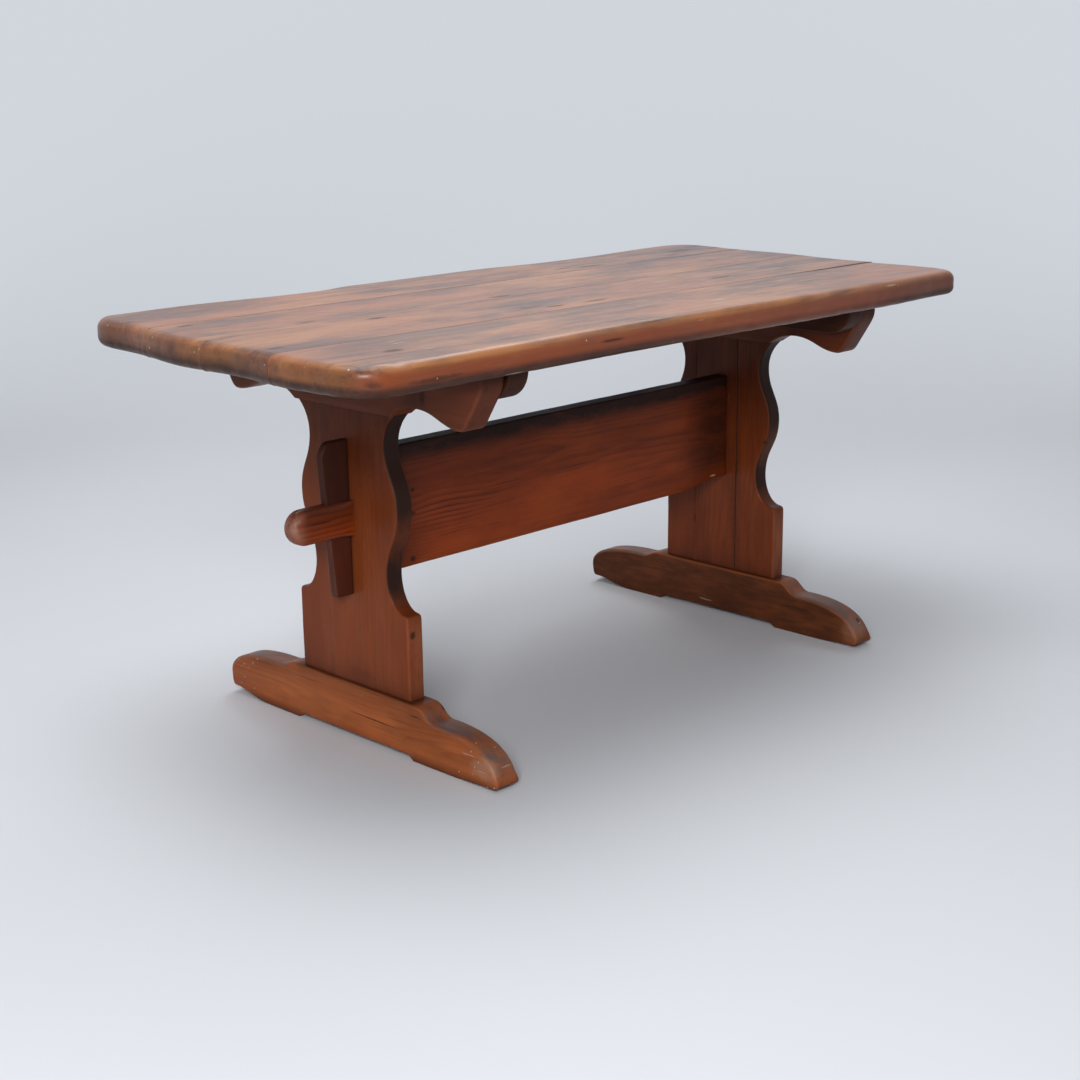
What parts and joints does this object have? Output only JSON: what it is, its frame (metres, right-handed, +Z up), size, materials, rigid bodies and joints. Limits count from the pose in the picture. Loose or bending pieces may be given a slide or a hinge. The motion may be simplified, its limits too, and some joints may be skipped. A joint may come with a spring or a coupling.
{
  "type": "trestle table",
  "caption": "Rustic knock-down trestle table: thick worn plank top on scroll-cut trestles with shaped feet, joined by a deep stretcher with wedged through tenons.",
  "frame": {"origin": "floor level under the centre of the top", "axes": "+X along the top and the stretcher, +Y across the top towards the back, +Z up"},
  "size_m": [1.61, 0.8, 0.74],
  "materials": {
    "top_pine": "stained and varnished pine, worn",
    "bearer_pine": "stained and varnished pine, worn",
    "foot_pine": "stained and varnished pine, worn",
    "upright_pine": "stained and varnished pine, worn",
    "stretcher_pine": "stained and varnished pine, worn",
    "wedge_pine": "stained and varnished pine, worn",
    "peg_wood": "bare turned wood",
    "screw_steel": "dull steel"
  },
  "bodies": {
    "frame": {"stretcher": "stretcher_pine", "left_foot": "foot_pine", "left_bearer": "bearer_pine", "left_top_pegs": "peg_wood", "left_upright_front_board": "upright_pine", "left_upright_middle_board": "upright_pine", "left_upright_back_board": "upright_pine", "right_foot": "foot_pine", "right_bearer": "bearer_pine", "right_top_pegs": "peg_wood", "right_upright_front_board": "upright_pine", "right_upright_middle_board": "upright_pine", "right_upright_back_board": "upright_pine"},
    "top": {"top_front_board": "top_pine", "top_inner_front_board": "top_pine", "top_inner_back_board": "top_pine", "top_back_board": "top_pine", "left_batten": "bearer_pine", "right_batten": "bearer_pine", "left_batten_screws": "screw_steel", "right_batten_screws": "screw_steel"},
    "left_wedge": {"left_wedge": "wedge_pine"},
    "right_wedge": {"right_wedge": "wedge_pine"}
  },
  "joints": [
    {"name": "top_lift", "type": "slide", "parent": "frame", "child": "top", "axis": [0, 0, 1], "range_m": [0, 0.12]},
    {"name": "left_wedge_lift", "type": "slide", "parent": "frame", "child": "left_wedge", "axis": [0, 0, 1], "range_m": [0, 0.048]},
    {"name": "right_wedge_lift", "type": "slide", "parent": "frame", "child": "right_wedge", "axis": [0, 0, 1], "range_m": [0, 0.048]}
  ]
}
